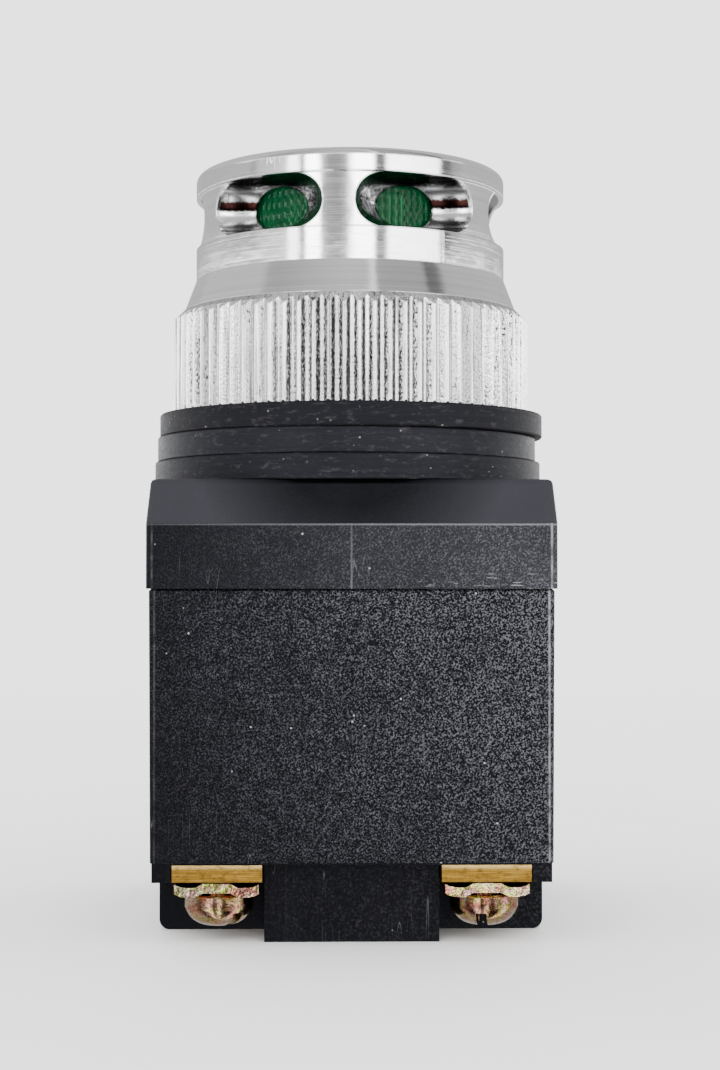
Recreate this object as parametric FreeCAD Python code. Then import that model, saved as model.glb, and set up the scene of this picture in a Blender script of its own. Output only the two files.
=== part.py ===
"""Industrial push button for a 30 mm panel hole, with a windowed guard round a green lens.

Millimetres. +Z runs along the button's axis towards the operator's finger. The origin is on that axis,
at the panel seat: the plane where the panel's rear face lies on the upper spacer ring.
From front to rear: guard, lock ring, gasket, (panel), two spacer rings, operator housing with its
threaded neck, contact housing, terminal base. The -Y side shows one pair of terminals open to view.
"""
import FreeCAD
import Part

import math
import os

V = FreeCAD.Vector
AXIS = V(0, 0, 1)

# ---- driving dimensions: the stack of rings on the neck ----
SPACER_LOWER = 2.4
SPACER_UPPER = 2.5
GASKET = 2.3
SHOULDER = -(SPACER_LOWER + SPACER_UPPER)
NECK_R = 14.95
NECK_TOP = 15.6
THREAD_PITCH = 1.5
THREAD_DEPTH = 0.85
RING_BORE_R = 15.45
TRAVEL = 4.0
PLAY = 0.05

# ---- lock ring and guard ----
LOCK_HEIGHT = 10.4
LOCK_CREST_R = 18.15
LOCK_ROOT_R = 17.5
LOCK_TEETH = 78
LOCK_BORE_R = 15.03
LOCK_TOP_R = 17.1
SPIGOT_R = 16.2
SPIGOT_DEPTH = 3.0
LOCK_TOP = GASKET + LOCK_HEIGHT
CONE_TOP = LOCK_TOP + 3.3
CONE_R = 16.95
GUARD_R = 15.7
GUARD_BORE_R = 12.25
GUARD_TOP = 26.7
WINDOW_COUNT = 6
WINDOW_Z = 21.75
WINDOW_HALF = 2.61
CUTTER_R = 8.6
CUTTER_OFFSET = 19.9
POST_RECESS = 0.22
FIRST_WINDOW_DEG = -64.6

# ---- button ----
LENS_R = 11.85
LENS_TOP = GUARD_TOP - 0.5
LENS_BOTTOM = 14.8
LENS_WALL = 1.3
LENS_RIBS = 96
SLEEVE_R = 12.0
SLEEVE_BORE_R = 7.2
SLEEVE_BOTTOM = 5.8
SPIGOT_TOP = 17.3
BORE_R = 12.25
SEAL_Z = 10.3
LEG_X = 2.0
LEG_Y = (7.3, 8.7)

# ---- housings ----
COLLAR_HALF = 19.0
COLLAR_TOP_HALF = 18.62
COLLAR_SLOPE = SHOULDER - 4.1
COLLAR_BOTTOM = SHOULDER - 10.15
CAVITY_HALF = 16.8
SPRING_SEAT = SHOULDER + 0.5
FLOOR_BOTTOM = SHOULDER - 2.0
BOX_TOP_HALF = 18.75
BOX_BOTTOM_HALF = 18.62
BOX_BOTTOM = COLLAR_BOTTOM - 25.24
WALL = 1.6
TOP_PLATE = 1.5

# ---- terminal base, rows of terminals and their screws ----
REAR = -47.9
RIM_HALF = 18.45
PLUG_HALF = 16.85
SLAB_TOP = -36.7
POCKET_FLOOR = BOX_BOTTOM - 0.18
PLATE = 1.6
RAIL_BOTTOM = POCKET_FLOOR - PLATE
RAIL_IN = 16.7
CORE_HALF = 8.15
CORE_FRONT = 16.5
BARRIER = (8.3, 10.3)
SCREW_X = 12.5
ROW_Y = 14.35
PLATE_X = (8.28, 16.6)
PLATE_HALF_Y = 3.95
SCREW_R = 1.7
HEAD_R = 3.25
HEAD_H = 3.05
CLAMP_T = 0.88
CLAMP_DIP = 0.38
CLAMP_TOP = RAIL_BOTTOM - 0.15
HEAD_TOP = CLAMP_TOP - CLAMP_DIP - CLAMP_T
LONG_SCREWS = ((5.6, 8.4), (-5.6, -8.4))
LONG_SCREW_R = 1.25
LONG_HEAD_R = 2.1

# ---- contacts ----
CONTACT_Y = 11.5
BAR_HALF_Y = 1.6
BAR_T = 0.8
TIP_R = 1.5
TIP_T = 0.6
ARM_T = 1.0
ARM_X = (10.5, 14.7)
ARM_Y = (9.9, 16.4)
CARRIER_X = 4.0
CARRIER_Y = 14.0
CARRIER_TOP = -12.1
CARRIER_BOTTOM = -31.3
NO_BAR = -28.1
NC_BAR = -22.7
GUIDE_PIN_R = 1.7
LEAD_X = (15.4, 16.4)
LEAD_TOP = FLOOR_BOTTOM - 3.0

# ---- lamp ----
HOLDER_R = 6.4
HOLDER_TOP = 6.3
HOLDER_PLATE = 3.0
SHELL_R = 5.35
LAMP_R = 4.65


# ---- small helpers ----
def disc(radius, low, high, x=0.0, y=0.0):
    return Part.makeCylinder(radius, high - low, V(x, y, low))


def tube(outer, inner, low, high, x=0.0, y=0.0):
    return disc(outer, low, high, x, y).cut(disc(inner, low - 1, high + 1, x, y))


def block(x0, x1, y0, y1, z0, z1):
    return Part.makeBox(x1 - x0, y1 - y0, z1 - z0, V(x0, y0, z0))


def turned(outline):
    """A solid of revolution about Z from (radius, height) corners."""
    corners = [V(r, 0, z) for r, z in outline]
    face = Part.Face(Part.makePolygon(corners + corners[:1]))
    return face.revolve(V(0, 0, 0), AXIS, 360)


def turned_edges(edges):
    """A solid of revolution about Z from a closed list of lines and arcs in the XZ plane."""
    return Part.Face(Part.Wire(edges)).revolve(V(0, 0, 0), AXIS, 360)


def line(a, b):
    return Part.LineSegment(V(a[0], 0, a[1]), V(b[0], 0, b[1])).toShape()


def arc(a, middle, b):
    points = [V(p[0], 0, p[1]) for p in (a, middle, b)]
    return Part.Arc(*points).toShape()


def turn(shape, degrees):
    copy = shape.copy()
    copy.rotate(V(0, 0, 0), AXIS, degrees)
    return copy


def moved(shape, x, y, z=0.0):
    copy = shape.copy()
    copy.translate(V(x, y, z))
    return copy


def joined(shapes):
    return shapes[0].multiFuse(shapes[1:]).removeSplitter()


def rounded_square(half, corner, z):
    """A closed wire: a square with rounded corners, at height z."""
    flat = half - corner
    mid = flat + corner * math.cos(math.radians(45))
    edges = []
    for quarter in range(4):
        side = Part.LineSegment(V(half, -flat, z), V(half, flat, z)).toShape()
        bend = Part.Arc(V(half, flat, z), V(mid, mid, z), V(flat, half, z)).toShape()
        edges += [turn(side, 90 * quarter), turn(bend, 90 * quarter)]
    return Part.Wire(Part.__sortEdges__(edges))


def tapered_box(sections, corner):
    """A solid through (half width, height) sections, each a rounded square."""
    wires = [rounded_square(half, corner, z) for half, z in sections]
    return Part.makeLoft(wires, True, True)


def toothed_prism(count, crest, root, flat_share, low, high):
    """A prism whose outline is a triangular wave with small flats on its crests and roots."""
    step = 2 * math.pi / count
    corners = []
    for tooth in range(count):
        for share, radius in ((-flat_share, crest), (flat_share, crest),
                              (0.5 - flat_share, root), (0.5 + flat_share, root)):
            angle = step * (tooth + share)
            corners.append(V(radius * math.cos(angle), radius * math.sin(angle), low))
    face = Part.Face(Part.makePolygon(corners + corners[:1]))
    return face.extrude(V(0, 0, high - low))


def coil_spring(mean, wire, low, high, turns, x=0.0, y=0.0):
    """A round-wire compression spring from low to high, swept along arcs through a helix's points."""
    rise = high - low - 2 * wire
    arcs = 8 * turns

    def point(half_arc):
        share = half_arc / (2 * arcs)
        angle = 2 * math.pi * turns * share
        return V(mean * math.cos(angle), mean * math.sin(angle), rise * share)

    path = [Part.Arc(point(2 * i), point(2 * i + 1), point(2 * i + 2)).toShape() for i in range(arcs)]
    lead = rise / turns / (2 * math.pi * mean)
    section = Part.Wire(Part.makeCircle(wire, V(mean, 0, 0), V(0, 1, lead)))
    spring = Part.Wire(path).makePipeShell([section], True, True)
    return moved(spring, x, y, low + wire)


def both_sides(shape):
    """The shape and its mirror image across the YZ plane."""
    return shape, shape.mirror(V(0, 0, 0), V(1, 0, 0))


# ---- front of the panel ----
def window_guard():
    """Turned aluminium guard: conical skirt, rounded rim and six windows cut by a full-radius cutter."""
    rim_round = 0.8
    corner = GUARD_R - rim_round * (1 - math.cos(math.radians(45)))
    corner_z = GUARD_TOP - rim_round * (1 - math.sin(math.radians(45)))
    post = GUARD_R - POST_RECESS
    low, high = WINDOW_Z - WINDOW_HALF, WINDOW_Z + WINDOW_HALF
    spigot_bore = LOCK_BORE_R + 0.05
    spigot_low = LOCK_TOP - SPIGOT_DEPTH
    shelf = NECK_TOP + 0.3
    lead_in = 0.7
    outline = [
        (spigot_bore, spigot_low), (SPIGOT_R, spigot_low), (SPIGOT_R, LOCK_TOP), (CONE_R, LOCK_TOP),
        (GUARD_R, CONE_TOP), (GUARD_R, low), (post, low), (post, high), (GUARD_R, high),
        (GUARD_R, GUARD_TOP - rim_round),
    ]
    inner = [
        (GUARD_R - rim_round, GUARD_TOP), (GUARD_BORE_R + lead_in, GUARD_TOP),
        (GUARD_BORE_R, GUARD_TOP - lead_in), (GUARD_BORE_R, shelf), (spigot_bore, shelf), outline[0],
    ]
    edges = [line(a, b) for a, b in zip(outline, outline[1:])]
    edges.append(arc(outline[-1], (corner, corner_z), inner[0]))
    edges += [line(a, b) for a, b in zip(inner, inner[1:])]
    guard = turned_edges(edges)
    straight = CUTTER_R - WINDOW_HALF
    cutter = turned_edges([
        line((0, -WINDOW_HALF), (straight, -WINDOW_HALF)),
        arc((straight, -WINDOW_HALF), (CUTTER_R, 0), (straight, WINDOW_HALF)),
        line((straight, WINDOW_HALF), (0, WINDOW_HALF)), line((0, WINDOW_HALF), (0, -WINDOW_HALF)),
    ])
    cutter.translate(V(CUTTER_OFFSET, 0, WINDOW_Z))
    for window in range(WINDOW_COUNT):
        guard = guard.cut(turn(cutter, FIRST_WINDOW_DEG + window * 360 / WINDOW_COUNT))
    return guard


def lock_ring():
    """Knurled aluminium ring that screws down the neck and clamps the panel."""
    knurl = toothed_prism(LOCK_TEETH, LOCK_CREST_R, LOCK_ROOT_R, 0.045, GASKET, LOCK_TOP)
    chamfer = LOCK_CREST_R - LOCK_TOP_R
    foot = 0.25
    spigot_floor = LOCK_TOP - SPIGOT_DEPTH
    blank = turned([
        (LOCK_BORE_R, GASKET), (LOCK_CREST_R - foot, GASKET), (LOCK_CREST_R, GASKET + foot),
        (LOCK_CREST_R, LOCK_TOP - chamfer), (LOCK_TOP_R, LOCK_TOP), (SPIGOT_R, LOCK_TOP),
        (SPIGOT_R, spigot_floor), (LOCK_BORE_R, spigot_floor),
    ])
    return knurl.common(blank)


def flat_ring(radius, low, high, shift, edge):
    """A flat ring that lies loose on the neck, shift to one side, with a small edge break."""
    ring = turned([
        (RING_BORE_R, low), (radius - edge, low), (radius, low + edge), (radius, high - edge),
        (radius - edge, high), (RING_BORE_R, high),
    ])
    return moved(ring, shift, 0)


# ---- button ----
def lens_cap():
    """Green cup with vertical ribs moulded on the inside of its wall."""
    crown = 0.6
    outer = turned([
        (0, LENS_BOTTOM), (LENS_R, LENS_BOTTOM), (LENS_R, LENS_TOP - crown), (LENS_R - crown, LENS_TOP),
        (0, LENS_TOP),
    ])
    ribs_low, ribs_high = SPIGOT_TOP, LENS_TOP - 1.7
    rib_root = LENS_R - LENS_WALL
    rib_space = toothed_prism(LENS_RIBS, rib_root, rib_root - 0.25, 0.08, ribs_low, ribs_high)
    skirt_space = disc(10.35, LENS_BOTTOM - 1, ribs_low)
    return outer.cut(joined([rib_space, skirt_space]))


def diffuser():
    """White cup under the lens that spreads the lamp's light."""
    radius = LENS_R - LENS_WALL - 0.35
    top = LENS_TOP - 1.9
    return disc(radius, SPIGOT_TOP, top).cut(disc(radius - 0.9, SPIGOT_TOP - 1, top - 0.9))


def button_sleeve():
    """Black plunger that carries the lens and reaches the contact carrier with two hooked legs."""
    groove = 1.5
    body = turned([
        (SLEEVE_BORE_R, SLEEVE_BOTTOM), (SLEEVE_R, SLEEVE_BOTTOM), (SLEEVE_R, SEAL_Z - groove / 2),
        (10.75, SEAL_Z - groove / 2), (10.75, SEAL_Z + groove / 2), (SLEEVE_R, SEAL_Z + groove / 2),
        (SLEEVE_R, LENS_BOTTOM), (10.3, LENS_BOTTOM), (10.3, SPIGOT_TOP), (8.6, SPIGOT_TOP),
        (8.6, LENS_BOTTOM - 1.5), (SLEEVE_BORE_R, LENS_BOTTOM - 1.5),
    ])
    leg_low = CARRIER_TOP + PLAY
    hook_top = FLOOR_BOTTOM - 0.1
    leg = block(-LEG_X, LEG_X, LEG_Y[0], LEG_Y[1], leg_low, SLEEVE_BOTTOM + 1.0)
    hook = block(-LEG_X, LEG_X, LEG_Y[1] - 0.2, LEG_Y[1] + 1.0, hook_top - 2.0, hook_top)
    legs = [turn(part, half) for part in (leg, hook) for half in (0, 180)]
    return joined([body] + legs)


def sleeve_seal():
    return Part.makeTorus(11.48, 0.7, V(0, 0, SEAL_Z), AXIS)


# ---- operator housing ----
def threaded_neck():
    """The neck's outside, with ridges at the thread's pitch in place of its helix."""
    start = SHOULDER + 0.8
    count = int((NECK_TOP - 0.6 - start) / THREAD_PITCH)
    root = NECK_R - THREAD_DEPTH
    outline = [(BORE_R, SHOULDER - 0.5), (root, SHOULDER - 0.5), (root, start)]
    for ridge in range(count):
        base = start + ridge * THREAD_PITCH
        outline += [(NECK_R, base + 0.62), (NECK_R, base + 0.82), (root, base + 1.44)]
    outline += [(root, NECK_TOP), (BORE_R, NECK_TOP)]
    return turned(outline)


def operator_housing():
    """Collar, threaded neck and the inner floor that carries the return spring."""
    edge = 0.42
    collar = tapered_box([(COLLAR_HALF, COLLAR_BOTTOM), (COLLAR_HALF, COLLAR_SLOPE)], 0.55)
    slope = tapered_box([
        (COLLAR_HALF, COLLAR_SLOPE), (COLLAR_TOP_HALF, SHOULDER - edge),
        (COLLAR_TOP_HALF - 0.14, SHOULDER - 0.12), (COLLAR_TOP_HALF - edge, SHOULDER),
    ], 0.55)
    body = joined([collar, slope, threaded_neck()])
    cavity = tapered_box([(CAVITY_HALF, COLLAR_BOTTOM - 1), (CAVITY_HALF, FLOOR_BOTTOM)], 1.0)
    body = body.cut(cavity).cut(disc(BORE_R, SPRING_SEAT, NECK_TOP + 1))
    body = body.cut(disc(HOLDER_R + 0.15, FLOOR_BOTTOM - 1, SPRING_SEAT + 1))
    gap = 0.15
    for sign in (-1, 1):
        y0, y1 = sorted((sign * (LEG_Y[0] - gap), sign * (LEG_Y[1] + gap)))
        body = body.cut(block(-LEG_X - gap, LEG_X + gap, y0, y1, FLOOR_BOTTOM - 1, SPRING_SEAT + 1))
    clear = 0.15
    passage = block(-CARRIER_X - clear, CARRIER_X + clear, -CARRIER_Y - clear, CARRIER_Y + clear,
                    COLLAR_BOTTOM - 1, FLOOR_BOTTOM)
    bosses = [disc(2.2, COLLAR_BOTTOM, FLOOR_BOTTOM + 0.3, x, y).common(cavity).cut(passage)
              for x, y in LONG_SCREWS]
    body = joined([body] + bosses)
    for x, y in LONG_SCREWS:
        body = body.cut(disc(LONG_SCREW_R, COLLAR_BOTTOM - 1, FLOOR_BOTTOM - 0.6, x, y))
    return body


# ---- lamp ----
def lamp_holder():
    """Black insert: a plate under the housing's floor and a tube that stands up inside the sleeve."""
    bottom = FLOOR_BOTTOM - HOLDER_PLATE
    plate = block(-16.3, 16.3, -6.0, 6.0, bottom, FLOOR_BOTTOM)
    holder = joined([plate, disc(HOLDER_R, FLOOR_BOTTOM - 0.5, HOLDER_TOP)])
    bore = disc(SHELL_R, FLOOR_BOTTOM - 1.2, HOLDER_TOP + 1)
    holder = holder.cut(bore).cut(disc(1.3, bottom - 1, FLOOR_BOTTOM))
    for sign in (-1, 1):
        x0, x1 = sorted((sign * (LEAD_X[0] - 0.1), sign * 17))
        holder = holder.cut(block(x0, x1, -2.1, 2.1, bottom - 1, bottom + 0.9))
    return holder


def lamp_shell():
    """Brass socket shell with two bayonet slots."""
    low, high = FLOOR_BOTTOM - 1.2, HOLDER_TOP - 0.4
    shell = tube(SHELL_R, SHELL_R - 0.45, low, high)
    slot = block(-6, 6, -1.1, 1.1, high - 4.0, high + 1)
    return shell.cut(slot)


def lamp_base():
    """The lamp's metal cap with its two bayonet pins and its solder tip."""
    low = FLOOR_BOTTOM + 0.6
    cap = joined([
        disc(LAMP_R, low + 1.2, 9.6),
        disc(LAMP_R + 0.35, 8.4, 9.6),
        disc(1.6, low, low + 1.3),
    ])
    pin = Part.makeCylinder(0.85, 2 * (SHELL_R - 0.2), V(-SHELL_R + 0.2, 0, 3.4), V(1, 0, 0))
    return joined([cap, pin])


def lamp_bulb():
    """The lamp's milky dome."""
    radius, low, top = 4.4, 9.6, 17.8
    shoulder = top - radius
    lift = radius * math.cos(math.radians(45))
    return turned_edges([
        line((0, low), (radius, low)), line((radius, low), (radius, shoulder)),
        arc((radius, shoulder), (lift, shoulder + lift), (0, top)), line((0, top), (0, low)),
    ])


def lamp_centre_contact():
    """Plunger that presses on the lamp's tip, with a flange under the holder's floor."""
    tip = FLOOR_BOTTOM + 0.6
    low = FLOOR_BOTTOM - HOLDER_PLATE
    return joined([disc(1.1, low, tip), disc(2.2, tip - 0.7, tip)])


# ---- contacts ----
def contact_carrier():
    """Moving crossbar with a window for each bridge and a bore for the guide pin and its spring."""
    body = block(-CARRIER_X, CARRIER_X, -CARRIER_Y, CARRIER_Y, CARRIER_BOTTOM, CARRIER_TOP)
    gap = 0.2
    y0, y1 = CONTACT_Y - BAR_HALF_Y - gap, CONTACT_Y + BAR_HALF_Y + gap
    no_window = block(-9, 9, -y1, -y0, NO_BAR, NO_BAR + 6.4)
    nc_window = block(-9, 9, y0, y1, NC_BAR - 6.0, NC_BAR + BAR_T + 0.1)
    spring_bore = disc(3.2, CARRIER_BOTTOM - 1, CARRIER_BOTTOM + 3.0)
    pin_bore = disc(GUIDE_PIN_R + 0.15, CARRIER_BOTTOM - 1, CARRIER_BOTTOM + 9.0)
    relief = block(-9, 9, -7, 7, CARRIER_TOP - 1.4, CARRIER_TOP + 1).cut(
        block(-9, 9, -9, -6, CARRIER_TOP - 2, CARRIER_TOP + 2)).cut(
        block(-9, 9, 6, 9, CARRIER_TOP - 2, CARRIER_TOP + 2))
    for cut in (no_window, nc_window, spring_bore, pin_bore, relief):
        body = body.cut(cut)
    return body


def bridge(y, low):
    """Copper bar between the two fixed contacts of one pole."""
    return block(-14.2, 14.2, y - BAR_HALF_Y, y + BAR_HALF_Y, low, low + BAR_T)


def tips(y, low, x=SCREW_X):
    """A pair of silver contact rivets, TIP_T thick, standing from low."""
    return Part.makeCompound([disc(TIP_R, low, low + TIP_T, side, y) for side in (-x, x)])


def terminal_plate(row):
    """The brass plate under a terminal screw on the +X side, with its tapped hole."""
    low_y, high_y = row - PLATE_HALF_Y, row + PLATE_HALF_Y
    plate = block(PLATE_X[0], PLATE_X[1], low_y, high_y, RAIL_BOTTOM, POCKET_FLOOR)
    return plate.cut(disc(SCREW_R, RAIL_BOTTOM - 1, POCKET_FLOOR + 1, SCREW_X, row))


def contact_terminal(side, arm_top):
    """Plate, riser and contact arm in one bent strip; side is -1 at the front and 1 at the rear."""
    y_in, y_out = ARM_Y
    riser_y = sorted((side * (y_out - ARM_T), side * y_out))
    arm_y = sorted((side * y_in, side * y_out))
    riser = block(ARM_X[0], ARM_X[1], riser_y[0], riser_y[1], POCKET_FLOOR - 0.5, arm_top)
    arm = block(ARM_X[0], ARM_X[1], arm_y[0], arm_y[1], arm_top - ARM_T, arm_top)
    strip = joined([terminal_plate(side * ROW_Y), riser, arm])
    return strip.cut(disc(SCREW_R, RAIL_BOTTOM - 1, POCKET_FLOOR + 3, SCREW_X, side * ROW_Y))


def lamp_terminal(reach):
    """Plate, riser along the side wall and an arm in to the lamp holder, ending at x = reach."""
    riser = block(LEAD_X[0], LEAD_X[1], -2.0, 2.0, POCKET_FLOOR - 0.5, LEAD_TOP)
    arm = block(reach, LEAD_X[1], -2.0, 2.0, LEAD_TOP - ARM_T, LEAD_TOP)
    return joined([terminal_plate(0.0), riser, arm])


# ---- contact housing and terminal base ----
def contact_housing():
    """Square box with slightly drafted walls, open at the rear, closed by a plate at the front."""
    outer = tapered_box([(BOX_TOP_HALF - 0.2, COLLAR_BOTTOM), (BOX_TOP_HALF, COLLAR_BOTTOM - 0.2),
                         (BOX_BOTTOM_HALF, BOX_BOTTOM)], 0.5)
    inner_half = PLUG_HALF + 0.1
    inner = tapered_box([(inner_half, BOX_BOTTOM - 1), (inner_half, COLLAR_BOTTOM - TOP_PLATE)], 0.6)
    box = outer.cut(inner)
    gap = 0.15
    low, high = COLLAR_BOTTOM - TOP_PLATE - 1, COLLAR_BOTTOM + 1
    box = box.cut(block(-CARRIER_X - gap, CARRIER_X + gap, -CARRIER_Y - gap, CARRIER_Y + gap, low, high))
    for lead in both_sides(block(LEAD_X[0] - gap, LEAD_X[1] + gap, -2.2, 2.2, low, high)):
        box = box.cut(lead)
    for x, y in LONG_SCREWS:
        box = box.cut(disc(LONG_SCREW_R + gap, low, high, x, y))
    return box


def base_slots():
    """Clearances through the base's slab: risers, terminal screws, lamp leads and long screws."""
    gap = 0.08
    low, high = POCKET_FLOOR - 1, SLAB_TOP + 1
    cuts = []
    for side in (-1, 1):
        y0, y1 = sorted((side * (ARM_Y[1] - ARM_T - gap), side * (ARM_Y[1] + gap)))
        cuts += both_sides(block(ARM_X[0] - gap, ARM_X[1] + gap, y0, y1, low, high))
    cuts += both_sides(block(LEAD_X[0] - gap, LEAD_X[1] + gap, -2 - gap, 2 + gap, low, high))
    for row in (-ROW_Y, 0.0, ROW_Y):
        cuts += both_sides(disc(SCREW_R + 0.15, low, POCKET_FLOOR + 2.6, SCREW_X, row))
    for x, y in LONG_SCREWS:
        cuts.append(disc(LONG_SCREW_R + 0.15, REAR - 1, high, x, y))
        cuts.append(disc(LONG_HEAD_R + 0.15, REAR - 1, REAR + 4, x, y))
    return cuts


def terminal_base():
    """Slab that closes the box, with a core block, four barriers between the rows and two side rails."""
    plug = tapered_box([(PLUG_HALF, POCKET_FLOOR), (PLUG_HALF, SLAB_TOP)], 0.5)
    rim = tapered_box([(RIM_HALF, POCKET_FLOOR), (RIM_HALF, BOX_BOTTOM)], 0.5)
    core = block(-CORE_HALF, CORE_HALF, -CORE_FRONT, CORE_FRONT, REAR, BOX_BOTTOM)
    rail = block(RAIL_IN, RIM_HALF, -RIM_HALF, RIM_HALF, RAIL_BOTTOM, BOX_BOTTOM)
    barriers = []
    for side in (-1, 1):
        y0, y1 = sorted((side * BARRIER[0], side * BARRIER[1]))
        wall = block(-RIM_HALF, RIM_HALF, y0, y1, REAR, BOX_BOTTOM)
        outer_corners = [e for e in wall.Edges if abs(e.CenterOfMass.x) > RIM_HALF - 0.01
                         and abs(e.CenterOfMass.z - REAR) < 0.01]
        barriers.append(wall.makeFillet(1.0, outer_corners))
    pin = disc(GUIDE_PIN_R, SLAB_TOP - 0.5, CARRIER_BOTTOM + 3.0)
    base = joined([plug, rim, core, *both_sides(rail), *barriers, pin])
    seat = tube(3.4, GUIDE_PIN_R, SLAB_TOP - 1.5, SLAB_TOP + 1)
    for cut in base_slots() + [seat]:
        base = base.cut(cut)
    return base


# ---- fasteners ----
def screw_head(radius, height, top):
    """A pan head under the plane top, with a slot and a cross recess in its crown."""
    flat = 0.25 * radius
    edge = 0.06 * radius
    side = 0.45 * height
    head = turned_edges([
        line((0, top), (radius - edge, top)), line((radius - edge, top), (radius, top - edge)),
        line((radius, top - edge), (radius, top - side)),
        arc((radius, top - side), (0.8 * radius, top - 0.8 * height), (flat, top - height)),
        line((flat, top - height), (0, top - height)), line((0, top - height), (0, top)),
    ])
    bottom = top - height
    wing = 0.52 * radius
    deep = bottom + 0.62 * height
    cuts = [block(-radius, radius, -0.5, 0.5, bottom - 1, bottom + 0.45 * height)]
    cuts.append(block(-wing, wing, -0.42, 0.42, bottom - 1, deep))
    cuts.append(block(-0.42, 0.42, -wing, wing, bottom - 1, deep))
    for cut in cuts:
        head = head.cut(cut)
    return head


def at_terminals(shape, turns=(0, 0, 0, 0, 0, 0)):
    """Copies of a shape modelled at the origin, one at each of the six terminal screws."""
    places = [(x, row) for row in (-ROW_Y, 0.0, ROW_Y) for x in (-SCREW_X, SCREW_X)]
    return Part.makeCompound([moved(turn(shape, angle), x, y) for (x, y), angle in zip(places, turns)])


def terminal_screws():
    shank = disc(SCREW_R, HEAD_TOP - 0.2, POCKET_FLOOR + 2.4)
    screw = joined([screw_head(HEAD_R, HEAD_H, HEAD_TOP), shank])
    return at_terminals(screw, (-50, -100, -35, 48, 82, -20))


def clamp_plates():
    """Square wire clamps with a raised middle and upturned ends that hold a wire on each side."""
    half = 3.9
    right = [(1.25, 0), (2.0, -CLAMP_DIP), (2.9, -CLAMP_DIP), (3.5, -0.26), (half, -0.06)]
    upper = [(-x, z) for x, z in reversed(right)] + right
    lower = [(x, z - CLAMP_T) for x, z in reversed(upper)]
    corners = [V(x, -3.75, CLAMP_TOP + z) for x, z in upper + lower]
    plate = Part.Face(Part.makePolygon(corners + corners[:1])).extrude(V(0, 7.5, 0))
    return at_terminals(plate.cut(disc(SCREW_R + 0.12, CLAMP_TOP - 2, CLAMP_TOP + 1)))


def assembly_screws():
    """Two long screws that hold base, contact housing and operator housing together."""
    under_head = REAR + 4
    shank = disc(LONG_SCREW_R - 0.02, under_head - 0.2, FLOOR_BOTTOM - 1.2)
    head = screw_head(LONG_HEAD_R, 2.1, under_head)
    screw = joined([head, shank])
    placed = [moved(turn(screw, 40 * sign), x, y) for sign, (x, y) in zip((1, -1), LONG_SCREWS)]
    return Part.makeCompound(placed)


def build():
    """Every node's name and shape."""
    no_arm_top = NO_BAR - TIP_T - TRAVEL - PLAY - TIP_T
    nc_arm_top = NC_BAR + BAR_T + 2 * TIP_T + 0.02 + ARM_T
    no_right = contact_terminal(-1, no_arm_top)
    nc_right = contact_terminal(1, nc_arm_top)
    lamp_right = lamp_terminal(1.5)
    lamp_left = lamp_terminal(4.5)
    nodes = {
        "window_guard": window_guard(),
        "lock_ring": lock_ring(),
        "gasket": flat_ring(19.45, 0, GASKET, 0.1, 0.12),
        "spacer_ring_upper": flat_ring(19.22, -SPACER_UPPER, 0, -0.35, 0.1),
        "spacer_ring_lower": flat_ring(19.58, SHOULDER, -SPACER_UPPER, -0.25, 0.1),
        "lens_cap": lens_cap(),
        "diffuser": diffuser(),
        "button_sleeve": button_sleeve(),
        "sleeve_seal": sleeve_seal(),
        "return_spring": coil_spring(9.9, 0.45, SPRING_SEAT, SLEEVE_BOTTOM, 5),
        "operator_housing": operator_housing(),
        "lamp_holder": lamp_holder(),
        "lamp_shell": lamp_shell(),
        "lamp_base": lamp_base(),
        "lamp_bulb": lamp_bulb(),
        "lamp_centre_contact": lamp_centre_contact(),
        "contact_carrier": contact_carrier(),
        "no_bridge": bridge(-CONTACT_Y, NO_BAR),
        "nc_bridge": bridge(CONTACT_Y, NC_BAR),
        "no_bridge_tips": tips(-CONTACT_Y, NO_BAR - TIP_T),
        "nc_bridge_tips": tips(CONTACT_Y, NC_BAR + BAR_T),
        "no_contact_spring": coil_spring(1.2, 0.22, NO_BAR + BAR_T, NO_BAR + 6.4, 6, 0, -CONTACT_Y),
        "nc_contact_spring": coil_spring(1.2, 0.22, NC_BAR - 6.0, NC_BAR, 6, 0, CONTACT_Y),
        "carrier_spring": coil_spring(2.6, 0.3, SLAB_TOP - 1.5, CARRIER_BOTTOM + 3.0, 6),
        "no_terminal_right": no_right,
        "no_terminal_left": both_sides(no_right)[1],
        "nc_terminal_right": nc_right,
        "nc_terminal_left": both_sides(nc_right)[1],
        "no_fixed_tips": tips(-CONTACT_Y, no_arm_top),
        "nc_fixed_tips": tips(CONTACT_Y, nc_arm_top - ARM_T - TIP_T),
        "lamp_terminal_right": lamp_right,
        "lamp_terminal_left": both_sides(lamp_left)[1],
        "contact_housing": contact_housing(),
        "terminal_base": terminal_base(),
        "terminal_screws": terminal_screws(),
        "clamp_plates": clamp_plates(),
        "assembly_screws": assembly_screws(),
    }
    return nodes


def main():
    os.makedirs("parts", exist_ok=True)
    for name, shape in build().items():
        solids = shape.Solids
        good = bool(solids) and all(s.isValid() and s.Volume > 0 for s in solids)
        box = shape.BoundBox
        print(f"{name:22s} solids {len(solids)} volume {shape.Volume:9.2f} "
              f"z {box.ZMin:7.2f} to {box.ZMax:6.2f} {'' if good else 'BAD'}")
        shape.exportStep(f"parts/{name}.step")


main()
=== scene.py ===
"""Looks for the guarded push button: materials, small surface detail, studio and camera."""

import math

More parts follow.
